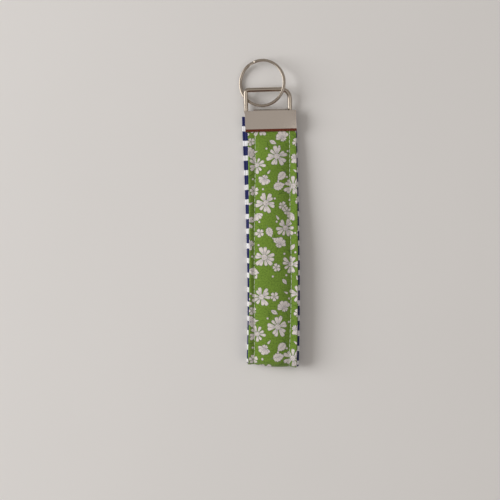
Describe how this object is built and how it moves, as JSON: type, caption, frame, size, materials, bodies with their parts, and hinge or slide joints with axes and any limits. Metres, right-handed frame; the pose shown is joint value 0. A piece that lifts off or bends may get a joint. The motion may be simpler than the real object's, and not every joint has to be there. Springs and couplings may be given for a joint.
{
  "type": "wristlet keychain",
  "caption": "Folded cotton wrist strap with a floral band over a striped backing, crimped in a metal clamp that carries a wire bail and a split key ring.",
  "frame": {"origin": "centre of the clamp's flat back face, which lies on the surface", "axes": "+Z away from the surface through the clamp, +Y along the object from the strap towards the ring, +X across the strap"},
  "size_m": [0.0354, 0.1913, 0.0101],
  "materials": {
    "clamp_nickel": "satin nickel plate",
    "wire_nickel": "polished nickel plate",
    "ring_steel": "polished",
    "core": "stiff woven webbing",
    "striped_cotton": "plain weave, navy and white stripes",
    "floral_cotton": "fine plain weave, printed flowers",
    "thread": "sewing thread"
  },
  "bodies": {
    "strap": {"clamp_shell": "clamp_nickel", "core_webbing": "core", "striped_cover": "striped_cotton", "floral_band": "floral_cotton", "topstitch_left": "thread", "topstitch_right": "thread", "bobbin_stitch_left": "thread", "bobbin_stitch_right": "thread"},
    "bail": {"bail": "wire_nickel"},
    "ring": {"split_ring": "ring_steel"}
  },
  "joints": [
    {"name": "bail_swing", "type": "hinge", "parent": "strap", "child": "bail", "pos_m": [-0.0015, 0.0045, 0.0035], "axis": [1, 0, 0], "range_deg": [-42, 25]},
    {"name": "ring_swing", "type": "hinge", "parent": "bail", "child": "ring", "pos_m": [-0.0047, 0.01902, 0.0058], "axis": [1, 0, 0], "range_deg": [0, 80]}
  ]
}
